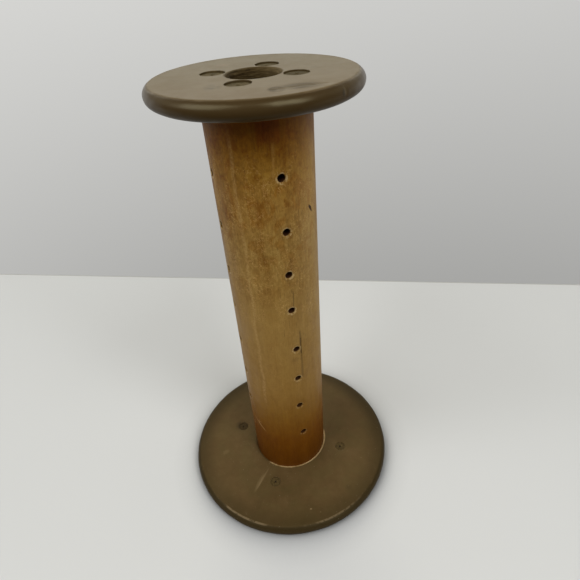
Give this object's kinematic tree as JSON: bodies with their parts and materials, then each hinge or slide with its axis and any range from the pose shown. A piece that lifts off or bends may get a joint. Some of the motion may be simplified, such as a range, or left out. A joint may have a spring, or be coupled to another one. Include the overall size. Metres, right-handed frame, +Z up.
{
  "type": "textile spool",
  "caption": "Empty wooden textile spool: a hollow barrel with thread holes between a small upper and a large lower painted head, pegged on.",
  "frame": {"origin": "centre of the lower head's outer face, on the spindle bore's axis", "axes": "+Z up along the spindle bore towards the small upper head, -Y towards the side with the right-hand row of thread holes, +X to that side's right"},
  "size_m": [0.1412, 0.1412, 0.2619],
  "materials": {
    "barrel_wood": "worn clear varnish on straight-grained hardwood, golden brown and darker at both ends",
    "upper_head_paint": "olive-brown satin paint on hardwood, worn on the flat",
    "lower_head_paint": "olive-brown satin paint on hardwood, scuffed",
    "upper_peg_wood": "painted over with the head",
    "lower_peg_wood": "painted over with the head",
    "plug_wood": "dark, painted over with the head"
  },
  "bodies": {
    "root": {"barrel": "barrel_wood", "upper_head": "upper_head_paint", "lower_head": "lower_head_paint", "upper_head_peg_1": "upper_peg_wood", "upper_head_peg_2": "upper_peg_wood", "upper_head_peg_3": "upper_peg_wood", "upper_head_peg_4": "upper_peg_wood", "lower_head_peg_1": "lower_peg_wood", "lower_head_peg_2": "lower_peg_wood", "lower_head_peg_3": "lower_peg_wood", "lower_head_peg_4": "lower_peg_wood", "drive_socket_plug_1": "plug_wood", "drive_socket_plug_2": "plug_wood", "drive_socket_plug_3": "plug_wood", "drive_socket_plug_4": "plug_wood"}
  },
  "joints": []
}
